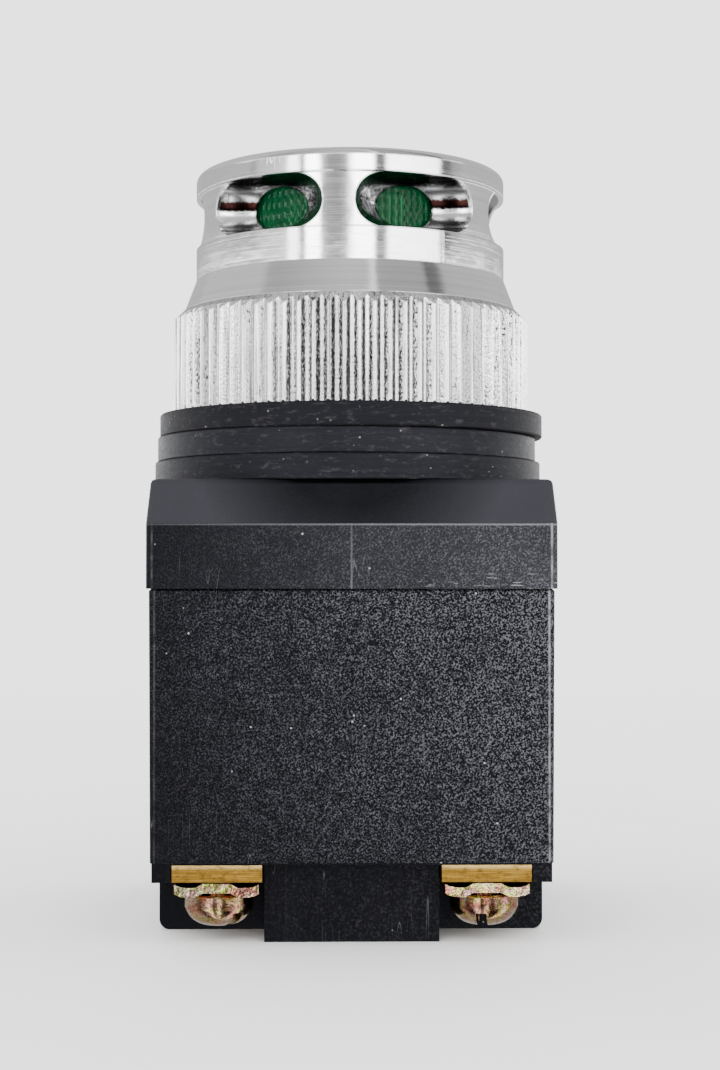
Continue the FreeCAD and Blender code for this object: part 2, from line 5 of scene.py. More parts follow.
import bpy
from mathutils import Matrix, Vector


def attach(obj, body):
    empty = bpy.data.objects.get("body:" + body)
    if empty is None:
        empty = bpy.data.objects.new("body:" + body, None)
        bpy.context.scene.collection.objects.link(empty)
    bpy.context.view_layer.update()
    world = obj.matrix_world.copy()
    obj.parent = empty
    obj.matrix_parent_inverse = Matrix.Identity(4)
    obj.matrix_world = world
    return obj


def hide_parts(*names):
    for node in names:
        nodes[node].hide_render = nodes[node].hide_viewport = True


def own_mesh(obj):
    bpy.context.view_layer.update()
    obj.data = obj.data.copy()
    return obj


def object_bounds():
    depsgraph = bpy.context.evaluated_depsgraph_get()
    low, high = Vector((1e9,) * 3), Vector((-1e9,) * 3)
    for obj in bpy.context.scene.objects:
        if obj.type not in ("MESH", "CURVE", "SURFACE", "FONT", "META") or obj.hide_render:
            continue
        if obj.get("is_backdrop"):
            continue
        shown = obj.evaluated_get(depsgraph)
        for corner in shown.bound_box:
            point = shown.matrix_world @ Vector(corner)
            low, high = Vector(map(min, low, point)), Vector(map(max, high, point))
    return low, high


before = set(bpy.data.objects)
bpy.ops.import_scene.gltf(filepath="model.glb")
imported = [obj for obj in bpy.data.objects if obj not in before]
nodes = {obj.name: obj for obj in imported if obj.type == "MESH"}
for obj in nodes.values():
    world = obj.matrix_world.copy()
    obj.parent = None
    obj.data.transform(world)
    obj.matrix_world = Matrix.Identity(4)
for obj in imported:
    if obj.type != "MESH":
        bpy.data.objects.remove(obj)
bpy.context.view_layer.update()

MM = 0.001

# Places on the part, in millimetres of the frame's own coordinates.
SHOULDER = -9.0          # where the collar's slope meets its upright band
COLLAR_FOOT = -15.0      # lower edge of that band
HALF_COLLAR = 18.42      # inset of the painted highlight line at the collar's corners
HALF_BOX = 18.2          # the same at the box's corners
BAND_TOP = 24.6          # top of the guard's windows, where the painted reflections and shade on the walls end
BAND_FOOT = 19.0         # foot of the windows
WINDOW_WALL = 15.2       # radius inside which the guard's metal is a window wall
CREST = 17.9             # knurl: radius where the crests start
GROOVE = 17.66           # knurl: radius under which the grooves lie
LENS_WALL = 11.0         # radius where the lens's ribbed wall starts
BRASS_EDGE = -40.95      # under the upper edge of the terminal plates


# ---- a small kit for building node materials ----
class Web:
    """Short calls that add nodes to a node tree."""

    def __init__(self, tree):
        self.tree = tree
        self.tree.nodes.clear()
        self.place = None

    def put(self, socket, value):
        """Links a node's output to a socket, or sets the socket to a plain value."""
        if isinstance(value, bpy.types.NodeSocket):
            self.tree.links.new(value, socket)
        else:
            socket.default_value = value

    def vector(self, operation, a, b=None, scale=None):
        node = self.tree.nodes.new("ShaderNodeVectorMath")
        node.operation = operation
        self.put(node.inputs[0], a)
        if b is not None:
            self.put(node.inputs[1], b)
        if scale is not None:
            node.inputs["Scale"].default_value = scale
        return node.outputs["Value" if operation in ("LENGTH", "DOT_PRODUCT") else "Vector"]

    def math(self, operation, a, b=0.5, clamp=False):
        node = self.tree.nodes.new("ShaderNodeMath")
        node.operation = operation
        node.use_clamp = clamp
        self.put(node.inputs[0], a)
        self.put(node.inputs[1], b)
        return node.outputs[0]

    def stretch(self, scales, offset=(0, 0, 0)):
        """The place moved by an offset and then scaled along each axis."""
        moved = self.vector("ADD", self.place, offset)
        return self.vector("MULTIPLY", moved, scales)

    def tilted(self, turn):
        """The place turned askew, so that no flat face lies along the noise's own cells."""
        node = self.tree.nodes.new("ShaderNodeMapping")
        node.inputs["Rotation"].default_value = turn
        self.put(node.inputs["Vector"], self.place)
        return node.outputs[0]

    def parts(self):
        """The x, y and z of a point as three outputs."""
        node = self.tree.nodes.new("ShaderNodeSeparateXYZ")
        self.put(node.inputs[0], self.place)
        return node.outputs[0], node.outputs[1], node.outputs[2]

    def radius(self):
        """Distance from the part's upright axis."""
        x, y, _ = self.parts()
        square = self.math("ADD", self.math("MULTIPLY", x, x), self.math("MULTIPLY", y, y))
        return self.math("SQRT", square)

    def off_front(self):
        """Angle round the axis away from the front, the same to the left and the right."""
        x, y, _ = self.parts()
        return self.math("ABSOLUTE", self.math("ARCTAN2", x, self.math("MULTIPLY", y, -1.0)))

    def across(self):
        """The direction round the axis, as long as the radius."""
        x, y, _ = self.parts()
        node = self.tree.nodes.new("ShaderNodeCombineXYZ")
        self.put(node.inputs[0], self.math("MULTIPLY", y, -1.0))
        self.put(node.inputs[1], x)
        return node.outputs[0]

    def rings(self, radial, along, around=0.0):
        """A vector for turned surfaces: it changes with radius and height, little round them."""
        x, y, z = self.parts()
        angle = self.math("ARCTAN2", y, x)
        node = self.tree.nodes.new("ShaderNodeCombineXYZ")
        self.put(node.inputs[0], self.math("MULTIPLY", self.radius(), radial))
        self.put(node.inputs[1], self.math("MULTIPLY", angle, around))
        self.put(node.inputs[2], self.math("MULTIPLY", z, along))
        return node.outputs[0]

    def noise(self, vector, scale, detail=4.0, rough=0.55):
        node = self.tree.nodes.new("ShaderNodeTexNoise")
        self.put(node.inputs["Vector"], vector)
        node.inputs["Scale"].default_value = scale
        node.inputs["Detail"].default_value = detail
        node.inputs["Roughness"].default_value = rough
        return node.outputs["Fac"]

    def cells(self, vector, scale):
        """Distance to the nearest of many scattered points."""
        node = self.tree.nodes.new("ShaderNodeTexVoronoi")
        self.put(node.inputs["Vector"], vector)
        node.inputs["Scale"].default_value = scale
        return node.outputs["Distance"]

    def span(self, value, low, high, to_low=0.0, to_high=1.0):
        """Maps low..high to to_low..to_high, held at both ends."""
        node = self.tree.nodes.new("ShaderNodeMapRange")
        node.inputs["From Min"].default_value = low
        node.inputs["From Max"].default_value = high
        node.inputs["To Min"].default_value = to_low
        node.inputs["To Max"].default_value = to_high
        self.put(node.inputs["Value"], value)
        return node.outputs["Result"]

    def ramp(self, value, stops):
        """A colour ramp through stops of (position, colour)."""
        node = self.tree.nodes.new("ShaderNodeValToRGB")
        points = node.color_ramp.elements
        while len(points) < len(stops):
            points.new(0.5)
        for point, (at, colour) in zip(points, stops):
            point.position = at
            point.color = (*colour, 1.0)
        self.put(node.inputs["Fac"], value)
        return node.outputs["Color"]

    def blend(self, share, a, b):
        """Colour a at share 0 and colour b at share 1."""
        node = self.tree.nodes.new("ShaderNodeMix")
        node.data_type = "RGBA"
        self.put(node.inputs[0], share)
        for socket, value in ((node.inputs[6], a), (node.inputs[7], b)):
            self.put(socket, value if isinstance(value, bpy.types.NodeSocket) else (*value, 1.0))
        return node.outputs[2]

    def bump(self, height, depth_mm, strength=1.0, normal=None):
        node = self.tree.nodes.new("ShaderNodeBump")
        node.inputs["Distance"].default_value = depth_mm * MM
        node.inputs["Strength"].default_value = strength
        self.put(node.inputs["Height"], height)
        if normal is not None:
            self.put(node.inputs["Normal"], normal)
        return node.outputs["Normal"]

    def soft_edges(self, radius_mm):
        node = self.tree.nodes.new("ShaderNodeBevel")
        node.samples = 4
        node.inputs["Radius"].default_value = radius_mm * MM
        return node.outputs["Normal"]

    def scratches(self, scale, width, turn, seed):
        """Thin, sparse, nearly straight lines: 1 on a scratch and 0 off it."""
        node = self.tree.nodes.new("ShaderNodeMapping")
        node.inputs["Rotation"].default_value = turn
        node.inputs["Scale"].default_value = (1.0, 0.05, 0.05)
        node.inputs["Location"].default_value = (seed, seed * 0.7, 0.0)
        self.put(node.inputs["Vector"], self.place)
        level = self.math("SUBTRACT", self.noise(node.outputs[0], scale, 1.0), 0.5)
        line = self.span(self.math("ABSOLUTE", level), 0.0, width, 1.0, 0.0)
        sparse = self.noise(self.stretch((1, 1, 1), (seed, 0, 3)), 0.22, 2.0)
        sparse = self.span(sparse, 0.56, 0.66)
        return self.math("MULTIPLY", line, sparse, clamp=True)


SOCKETS = {
    "colour": "Base Color", "metal": "Metallic", "rough": "Roughness", "normal": "Normal",
    "ior": "IOR", "clear": "Transmission Weight", "grain": "Anisotropic", "tangent": "Tangent",
    "specular": "Specular IOR Level", "tint": "Specular Tint", "inside": "Subsurface Weight",
    "depth": "Subsurface Radius", "depth_scale": "Subsurface Scale",
}


class Paint(Web):
    """One material under construction. Coordinates are the part's own, in millimetres."""

    def __init__(self, name):
        self.material = bpy.data.materials.new(name)
        self.material.use_nodes = True
        super().__init__(self.material.node_tree)
        self.output = self.tree.nodes.new("ShaderNodeOutputMaterial")
        self.shader = self.tree.nodes.new("ShaderNodeBsdfPrincipled")
        self.put(self.output.inputs["Surface"], self.shader.outputs["BSDF"])
        where = self.tree.nodes.new("ShaderNodeTexCoord")
        self.place = self.vector("SCALE", where.outputs["Object"], scale=1000.0)
        self.facing = where.outputs["Normal"]

    def set(self, **values):
        """Sets or links sockets of the shader, and hands back the material."""
        for key, value in values.items():
            if key == "tint":
                value = (*value, 1.0)
            self.put(self.shader.inputs[SOCKETS[key]], value)
        return self.material


def radial_tangent(paint):
    node = paint.tree.nodes.new("ShaderNodeTangent")
    node.direction_type = "RADIAL"
    node.axis = "Z"
    return node.outputs["Tangent"]


# ---- materials ----
BLUISH = (0.84, 0.86, 1.0)      # the gloss of the black plastics and rubbers


def turned_aluminium():
    """Bright turned aluminium: fine lines round it, stains, marks, and window walls painted with
    streaky reflections and shade.
    """
    p = Paint("turned_aluminium")
    fine = p.noise(p.rings(9.0, 9.0, 0.35), 1.0, 3.0)
    coarse = p.noise(p.rings(2.2, 2.2, 0.2), 1.0, 2.0)
    stain = p.noise(p.stretch((0.3, 0.3, 0.3)), 1.0, 4.0)
    marks = p.scratches(0.9, 0.006, (0.4, 0.9, 0.3), 4.0)
    grain = p.math("ADD", p.math("MULTIPLY", fine, 0.7), p.math("MULTIPLY", coarse, 0.3))
    colour = p.ramp(grain, [
        (0.3, (0.76, 0.765, 0.775)), (0.5, (0.86, 0.862, 0.866)), (0.7, (0.92, 0.92, 0.92))])
    rough = p.math("ADD", p.span(grain, 0.3, 0.7, 0.05, 0.11), p.span(stain, 0.4, 0.75, 0.0, 0.04))
    wave = p.noise(p.rings(0.5, 0.5, 5.0), 1.0, 2.0)
    z = p.parts()[2]
    inside = p.span(p.radius(), WINDOW_WALL - 0.1, WINDOW_WALL + 0.1, 1.0, 0.0)
    wall = p.math("MULTIPLY", inside, p.span(z, BAND_TOP - 0.1, BAND_TOP, 1.0, 0.0))
    mottle = p.noise(p.stretch((1.0, 1.0, 1.0), (3, 3, 3)), 2.6, 4.0, 0.65)
    height = p.math("ADD", z, p.math("MULTIPLY", p.math("SUBTRACT", mottle, 0.5), 0.7))
    # The window walls are painted with reflections: light and dark streaks by height, a dark brown
    # one among them, and painted shade at the top.
    wall_reflections = p.ramp(p.span(height, BAND_FOOT, BAND_TOP), [
        (0.0, (0.12, 0.12, 0.12)), (0.1, (0.5, 0.5, 0.5)), (0.2, (0.14, 0.14, 0.14)),
        (0.28, (0.72, 0.72, 0.72)), (0.5, (0.82, 0.82, 0.82)), (0.54, (0.012, 0.004, 0.004)),
        (0.66, (0.03, 0.011, 0.009)), (0.72, (0.5, 0.5, 0.5)), (0.84, (0.35, 0.35, 0.36)),
        (0.9, (0.02, 0.02, 0.02)), (1.0, (0.01, 0.01, 0.01))])
    # Walls of the windows nearest the front: mottled grey, with painted shade under the top rim.
    front_walls_shaded = p.ramp(mottle, [
        (0.36, (0.05, 0.05, 0.055)), (0.48, (0.26, 0.26, 0.27)), (0.64, (0.6, 0.6, 0.6))])
    front_walls_shaded = p.blend(p.span(height, 23.4, 23.9), front_walls_shaded, (0.012, 0.012, 0.012))
    wall_reflections = p.blend(p.span(p.off_front(), 0.5, 0.56, 1.0, 0.0), wall_reflections, front_walls_shaded)
    colour = p.blend(wall, colour, wall_reflections)
    rough = p.math("ADD", rough, p.math("MULTIPLY", wall, 0.08))
    normal = p.bump(wave, 0.05, 0.35, p.soft_edges(0.22))
    normal = p.bump(grain, 0.01, 0.45, normal)
    normal = p.bump(marks, 0.02, 0.5, normal)
    return p.set(colour=colour, metal=1.0, rough=rough, normal=normal, grain=0.1,
                 tangent=radial_tangent(p))


def knurled_aluminium():
    """Straight-knurled aluminium: bright crests and grooves between scored, crushed flanks, with
    painted shade on the flanks, in their pits and at the bottom of the grooves.
    """
    p = Paint("knurled_aluminium")
    radius = p.radius()
    crush = p.noise(p.stretch((1.0, 1.0, 0.6)), 5.5, 3.0, 0.6)
    score = p.noise(p.rings(2.0, 0.12, 110.0), 1.0, 3.0, 0.6)
    blotch = p.noise(p.rings(0.1, 0.12, 3.2), 1.0, 2.0)
    crest = p.span(radius, CREST, CREST + 0.12)
    groove = p.span(radius, GROOVE - 0.08, GROOVE, 1.0, 0.0)
    bright = p.math("MAXIMUM", crest, groove)
    # Painted shade on the flanks by the way they face: flanks turned one way round the axis are
    # painted dark, those turned the other way grey, most strongly towards the front.
    facing = p.math("DIVIDE", p.vector("DOT_PRODUCT", p.facing, p.across()), radius)
    front = p.span(p.off_front(), 0.34, 0.56, 1.0, 0.45)
    right = p.math("MULTIPLY", p.span(facing, 0.3, 0.5), front)
    left = p.math("MULTIPLY", p.span(facing, -0.3, -0.5), front)
    flat = p.math("SUBTRACT", 1.0, bright)
    white = p.ramp(score, [
        (0.36, (0.35, 0.35, 0.36)), (0.46, (0.93, 0.93, 0.93)), (0.6, (0.97, 0.97, 0.97))])
    dark = p.ramp(crush, [
        (0.36, (0.006, 0.006, 0.006)), (0.5, (0.07, 0.07, 0.072)), (0.62, (0.3, 0.3, 0.3))])
    grey = p.ramp(crush, [
        (0.38, (0.03, 0.03, 0.03)), (0.47, (0.2, 0.2, 0.202)), (0.58, (0.85, 0.85, 0.85))])
    colour = p.blend(p.math("MULTIPLY", left, flat), white, grey)
    colour = p.blend(p.math("MULTIPLY", right, flat), colour, dark)
    # Painted shade in the crushed pits: dark dots, stronger on the flanks.
    pit_shade = p.math("ADD", crush, p.span(blotch, 0.45, 0.62, 0.05, -0.08))
    pit_shade = p.span(pit_shade, 0.36, 0.44, 1.0, 0.0)
    pit_shade = p.math("MULTIPLY", pit_shade, p.math("ADD", p.math("MULTIPLY", flat, 0.7), 0.25))
    colour = p.blend(pit_shade, colour, (0.03, 0.03, 0.03))
    # Painted shade at the bottom of the grooves, away from the front.
    lowest = p.span(radius, GROOVE - 0.12, GROOVE - 0.06, 1.0, 0.0)
    shade = p.math("MULTIPLY", lowest, p.math("SUBTRACT", 1.0, front))
    colour = p.blend(shade, colour, (0.025, 0.025, 0.025))
    rough = p.span(blotch, 0.3, 0.8, -0.02, 0.04)
    rough = p.math("ADD", p.span(crush, 0.35, 0.7, 0.1, 0.24), rough)
    normal = p.bump(crush, 0.03, 0.6, p.soft_edges(0.07))
    return p.set(colour=colour, metal=1.0, rough=rough, normal=normal)


def dust_and_side_light(p, x):
    """How much pale dust and painted light the plastic takes: painted light from the upper right
    makes it grow towards the right and towards the top.
    """
    z = p.parts()[2]
    drift = p.noise(p.stretch((0.1, 0.1, 0.1)), 1.0, 3.0)
    side = p.span(x, -19.0, 19.0, 0.12, 1.3)
    height = p.span(z, -42.0, -12.0, 0.6, 1.15)
    return p.math("MULTIPLY", p.math("MULTIPLY", side, height), p.span(drift, 0.3, 0.7, 0.75, 1.25))


def moulded_black(name, film, grain_mm, contrast, depth_mm=0.03, streak=0.0, corner=0.0):
    """Black moulded plastic: grain with pale flecks of dust and painted highlight, painted light
    from the upper right, fine scratches and stray specks.

    film is the dust that lies everywhere and contrast the pale flecks on the grain, partly dust
    held in it and partly painted highlights; both grow towards the right and the top as painted
    light. streak is the strength of upright streaks, and corner the place of a painted highlight
    line beside each corner.
    """
    p = Paint(name)
    x, y, _ = p.parts()
    grain = p.noise(p.tilted((0.6, 0.4, 0.5)), 1.0 / grain_mm, 2.0, 0.5)
    blotch = p.noise(p.stretch((1, 1, 1), (5, 2, 9)), 0.9, 3.0)
    # Dust and painted light from the upper right, growing towards the right and the top.
    dust_and_light = dust_and_side_light(p, x)
    fleck = p.span(grain, 0.47, 0.7)
    fleck = p.math("MULTIPLY", fleck, p.span(blotch, 0.3, 0.65, 0.55, 1.25))
    share = p.math("ADD", p.math("MULTIPLY", fleck, contrast), film)
    share = p.math("MULTIPLY", dust_and_light, share, clamp=True)
    colour = p.blend(share, (0.0006, 0.0006, 0.0012), (0.085, 0.085, 0.095))
    streaks = p.noise(p.stretch((1.5, 1.5, 0.07)), 1.0, 3.0)
    colour = p.blend(p.span(streaks, 0.48, 0.75, 0.0, streak), colour, (0.05, 0.05, 0.055))
    spots = p.span(p.cells(p.stretch((1, 1, 1), (7, 3, 1)), 0.62), 0.03, 0.07, 1.0, 0.0)
    rare = p.span(p.noise(p.stretch((1, 1, 1), (3, 9, 2)), 0.33, 1.0), 0.52, 0.6)
    colour = p.blend(p.math("MULTIPLY", spots, rare, clamp=True), colour, (0.4, 0.4, 0.39))
    hair = p.scratches(0.55, 0.0035, (0.2, 0.5, 0.9), 11.0)
    hair = p.math("MAXIMUM", hair, p.scratches(0.5, 0.003, (1.1, 0.2, -0.6), 27.0))
    colour = p.blend(p.math("MULTIPLY", hair, 0.4), colour, (0.16, 0.16, 0.17))
    if corner:
        # A painted highlight line beside each corner, where the rounded corner would catch the
        # light.
        inset = p.math("MINIMUM", p.math("ABSOLUTE", x), p.math("ABSOLUTE", y))
        line = p.math("ABSOLUTE", p.math("SUBTRACT", inset, corner))
        line = p.span(line, 0.05, 0.13, 1.0, 0.0)
        line = p.math("MULTIPLY", line, p.span(blotch, 0.38, 0.6, 0.25, 1.0))
        colour = p.blend(p.math("MULTIPLY", line, dust_and_light), colour, (0.2, 0.2, 0.21))
    normal = p.bump(grain, depth_mm, 0.8, p.soft_edges(0.14))
    normal = p.bump(hair, 0.02, 0.4, normal)
    rough = p.span(grain, 0.3, 0.75, 0.34, 0.52)
    p.set(colour=colour, rough=rough, normal=normal, specular=0.11, tint=BLUISH)
    return p, colour


def collar_black():
    """The collar: a smooth slope with painted shade under the rings, over a grained band with
    scuffs; a painted highlight runs along the shoulder between them.
    """
    p, colour = moulded_black("collar_plastic", 0.14, 0.17, 0.5, 0.02, corner=HALF_COLLAR)
    x, _, z = p.parts()
    # Painted shade on the slope under the rings: darkest in the middle of each face, lighter
    # towards the corners.
    spread = p.math("SUBTRACT", p.radius(), p.math("MULTIPLY", p.math("ADD", z, 4.9), 0.22))
    smooth = p.noise(p.stretch((0.3, 0.3, 0.3)), 1.0, 3.0)
    shaded_slope = p.blend(p.span(spread, 19.4, 23.6), (0.0003, 0.0003, 0.0006), (0.024, 0.024, 0.028))
    shaded_slope = p.blend(p.span(smooth, 0.45, 0.75, 0.0, 0.15), shaded_slope, (0.012, 0.012, 0.014))
    colour = p.blend(p.span(z, SHOULDER - 0.02, SHOULDER + 0.02), colour, shaded_slope)
    wobble = p.math("MULTIPLY", p.noise(p.stretch((0, 0, 1)), 1.2, 2.0), 0.1)
    off = p.math("ABSOLUTE", p.math("ADD", x, wobble))
    fading = p.span(z, COLLAR_FOOT, SHOULDER - 0.1, 1.0, 0.4)
    seam = p.math("MULTIPLY", p.span(off, 0.05, 0.12, 1.0, 0.0), fading, clamp=True)
    seam = p.math("MULTIPLY", seam, p.span(z, SHOULDER - 0.02, SHOULDER + 0.02, 1.0, 0.0))
    colour = p.blend(p.math("MULTIPLY", seam, 0.6), colour, (0.12, 0.12, 0.13))
    # A painted highlight along the edge of the shoulder, brighter towards the right.
    shoulder_highlight = p.math("ABSOLUTE", p.math("SUBTRACT", z, SHOULDER - 0.12))
    shoulder_highlight = p.span(shoulder_highlight, 0.05, 0.11, 1.0, 0.0)
    shoulder_highlight = p.math("MULTIPLY", shoulder_highlight, p.span(x, -19.0, 19.0, 0.15, 0.75))
    colour = p.blend(shoulder_highlight, colour, (0.16, 0.16, 0.17))
    scuff = p.noise(p.stretch((0.5, 0.5, 4.5), (2, 1, 0)), 1.0, 4.0)
    low = p.math("MULTIPLY", p.span(z, -14.6, -13.2, 1.0, 0.0), p.span(x, 2.0, 12.0))
    scuff = p.math("MULTIPLY", p.span(scuff, 0.61, 0.66), low, clamp=True)
    colour = p.blend(p.math("MULTIPLY", scuff, 0.8), colour, (0.32, 0.31, 0.3))
    return p.set(colour=colour)


def ring_black(name, gloss, base, seed):
    """Black ring stock: faint lines round it, fine rub marks, pale specks and small dents with
    painted shade in them.
    """
    p = Paint(name)
    grain = p.noise(p.stretch((1, 1, 1), (seed, 0, 0)), 3.0, 3.0)
    lines = p.noise(p.rings(1.0, 4.0, 2.0), 1.0, 3.0)
    rub = p.noise(p.stretch((0.8, 0.8, 2.2), (seed, seed, 0)), 1.0, 6.0, 0.75)
    specks = p.span(p.cells(p.stretch((1, 1, 1), (1, seed, 6)), 0.9), 0.04, 0.1, 1.0, 0.0)
    dots = p.span(p.cells(p.stretch((1, 1, 1.3), (seed, 5, 2)), 0.7), 0.05, 0.12, 1.0, 0.0)
    few = p.span(p.noise(p.stretch((1, 1, 1), (seed, 1, 4)), 0.4, 1.0), 0.55, 0.6)
    dark = (base, base, base * 1.3)
    mid = (base * 2.0, base * 2.0, base * 2.6)
    colour = p.ramp(lines, [(0.3, dark), (0.75, mid)])
    colour = p.blend(p.span(rub, 0.54, 0.72, 0.0, 0.5), colour, (0.075, 0.07, 0.075))
    specks = p.math("MULTIPLY", specks, p.span(rub, 0.45, 0.55), clamp=True)
    colour = p.blend(specks, colour, (0.2, 0.19, 0.19))
    # Painted shade in the small dents.
    dent_shade = p.math("MULTIPLY", dots, p.math("MULTIPLY", few, 0.5))
    colour = p.blend(dent_shade, colour, (0.002, 0.002, 0.002))
    rough = p.span(grain, 0.3, 0.7, gloss - 0.05, gloss + 0.06)
    rough = p.math("ADD", rough, p.span(rub, 0.4, 0.8, 0.0, 0.12))
    normal = p.bump(lines, 0.03, 0.4, p.soft_edges(0.12))
    normal = p.bump(dots, 0.05, 0.5, normal)
    return p.set(colour=colour, rough=rough, normal=normal, specular=0.16, tint=BLUISH)


def green_lens():
    """Deep green clear acrylic, moulded with rows of small scales over its upright ribs."""
    p = Paint("green_lens")
    flow = p.noise(p.stretch((0.5, 0.5, 0.25)), 1.0, 3.0)
    fine = p.noise(p.place, 3.0, 2.0)
    x, y, z = p.parts()
    turn = p.math("MULTIPLY", p.math("ARCTAN2", y, x), 48.0)
    rib = p.math("ABSOLUTE", p.math("SINE", turn))
    row = p.math("ADD", p.math("MULTIPLY", z, 0.9), p.math("MULTIPLY", rib, 0.3))
    scale = p.math("PINGPONG", row, 0.5)
    wall = p.span(p.radius(), LENS_WALL, LENS_WALL + 0.6)
    moulding = p.math("MULTIPLY", p.math("ADD", rib, scale), wall)
    colour = p.ramp(flow, [(0.3, (0.0, 0.13, 0.04)), (0.7, (0.0, 0.24, 0.075))])
    rough = p.span(fine, 0.3, 0.7, 0.05, 0.12)
    normal = p.bump(moulding, 0.1, 0.7)
    normal = p.bump(fine, 0.008, 0.4, normal)
    return p.set(colour=colour, rough=rough, normal=normal, clear=0.75, ior=1.22, specular=0.2)


def milky(name, warm):
    """Milky plastic that spreads light: a lamp's dome or a diffuser."""
    p = Paint(name)
    cloud = p.noise(p.stretch((0.4, 0.4, 0.4)), 1.0, 3.0)
    colour = p.ramp(cloud, [(0.3, (0.72, 0.73, 0.7 - warm)), (0.7, (0.84, 0.85, 0.82 - warm))])
    rough = p.span(cloud, 0.3, 0.7, 0.22, 0.38)
    normal = p.bump(p.noise(p.place, 4.0, 2.0), 0.01, 0.5)
    return p.set(colour=colour, rough=rough, normal=normal, inside=0.4, depth=(1.0, 1.0, 0.9),
                 depth_scale=MM)


def rolled_brass():
    """Rolled brass strip: long rolling lines, tarnish spots and worn, brighter edges."""
    p = Paint("rolled_brass")
    roll = p.noise(p.stretch((0.35, 0.35, 9.0)), 1.0, 4.0, 0.65)
    spots = p.noise(p.stretch((1.4, 1.4, 2.2)), 1.0, 5.0, 0.7)
    dots = p.span(p.cells(p.place, 1.1), 0.08, 0.25, 1.0, 0.0)
    base = p.ramp(roll, [
        (0.3, (0.2, 0.105, 0.016)), (0.5, (0.32, 0.18, 0.03)), (0.72, (0.52, 0.32, 0.07))])
    worn = p.span(p.parts()[2], BRASS_EDGE, BRASS_EDGE + 0.3)
    base = p.blend(worn, base, (0.8, 0.55, 0.2))
    colour = p.blend(p.span(spots, 0.5, 0.66, 0.0, 0.75), base, (0.14, 0.07, 0.014))
    colour = p.blend(p.math("MULTIPLY", dots, 0.35), colour, (0.16, 0.09, 0.03))
    rough = p.span(spots, 0.4, 0.75, 0.0, 0.14)
    rough = p.math("ADD", p.span(roll, 0.3, 0.7, 0.24, 0.36), rough)
    normal = p.bump(roll, 0.03, 0.6, p.soft_edges(0.09))
    normal = p.bump(spots, 0.02, 0.4, normal)
    return p.set(colour=colour, metal=1.0, rough=rough, normal=normal)


def yellow_zinc(name, dents_mm, dull):
    """Yellow-passivated zinc: straw metal with drifting pink and green interference colours.

    dents_mm is how deep its dents are, and dull the share of a dark brown laid evenly over the
    colours, which darkens the whole piece.
    """
    p = Paint(name)
    drift = p.noise(p.stretch((0.55, 0.55, 0.8)), 1.0, 2.5, 0.5)
    patch = p.noise(p.stretch((1, 1, 1), (4, 8, 2)), 0.75, 4.0, 0.6)
    fine = p.noise(p.place, 5.0, 3.0)
    sheen = p.ramp(drift, [
        (0.32, (0.5, 0.17, 0.14)), (0.42, (0.75, 0.36, 0.22)), (0.49, (0.85, 0.62, 0.24)),
        (0.55, (0.5, 0.62, 0.1)), (0.62, (0.75, 0.4, 0.32)), (0.7, (0.6, 0.24, 0.24))])
    colour = p.blend(p.span(patch, 0.45, 0.66, 0.0, 0.6), sheen, (0.95, 0.86, 0.7))
    colour = p.blend(p.span(fine, 0.5, 0.62, 0.0, 0.75), colour, (0.12, 0.06, 0.05))
    colour = p.blend(dull, colour, (0.16, 0.06, 0.035))
    rough = p.span(patch, 0.4, 0.8, 0.0, 0.1)
    rough = p.math("ADD", p.span(fine, 0.3, 0.7, 0.1, 0.22), rough)
    normal = p.bump(patch, dents_mm, 0.7, p.soft_edges(0.12))
    normal = p.bump(fine, 0.015, 0.5, normal)
    return p.set(colour=colour, metal=1.0, rough=rough, normal=normal)


def plain_metal(name, dark, light, low, high, scales):
    """Metal of one colour, with lines along it and a faint tarnish; low and high are roughness."""
    p = Paint(name)
    lines = p.noise(p.stretch(scales), 1.0, 4.0)
    tarnish = p.noise(p.stretch((0.5, 0.5, 0.5)), 1.0, 4.0)
    colour = p.ramp(lines, [(0.3, dark), (0.7, light)])
    colour = p.blend(p.span(tarnish, 0.45, 0.8, 0.0, 0.4), colour, dark)
    normal = p.bump(lines, 0.015, 0.5, p.soft_edges(0.06))
    rough = p.span(lines, 0.3, 0.7, low, high)
    return p.set(colour=colour, metal=1.0, rough=rough, normal=normal)


def red_plastic():
    """Dull red-brown moulded crossbar."""
    p = Paint("crossbar_red")
    cloud = p.noise(p.stretch((0.3, 0.3, 0.3)), 1.0, 4.0)
    grain = p.noise(p.place, 3.0, 3.0)
    colour = p.ramp(cloud, [(0.3, (0.2, 0.025, 0.015)), (0.7, (0.3, 0.045, 0.025))])
    normal = p.bump(grain, 0.02, 0.5, p.soft_edges(0.12))
    return p.set(colour=colour, rough=p.span(grain, 0.3, 0.7, 0.38, 0.52), normal=normal)


def seal_rubber():
    """Soft black seal with a greasy film."""
    p = Paint("seal_rubber")
    film = p.noise(p.stretch((0.6, 0.6, 1.5)), 1.0, 4.0)
    colour = p.ramp(film, [(0.3, (0.012, 0.012, 0.012)), (0.7, (0.03, 0.03, 0.032))])
    normal = p.bump(p.noise(p.place, 4.0, 2.0), 0.01, 0.5)
    return p.set(colour=colour, rough=p.span(film, 0.3, 0.7, 0.25, 0.5), normal=normal)


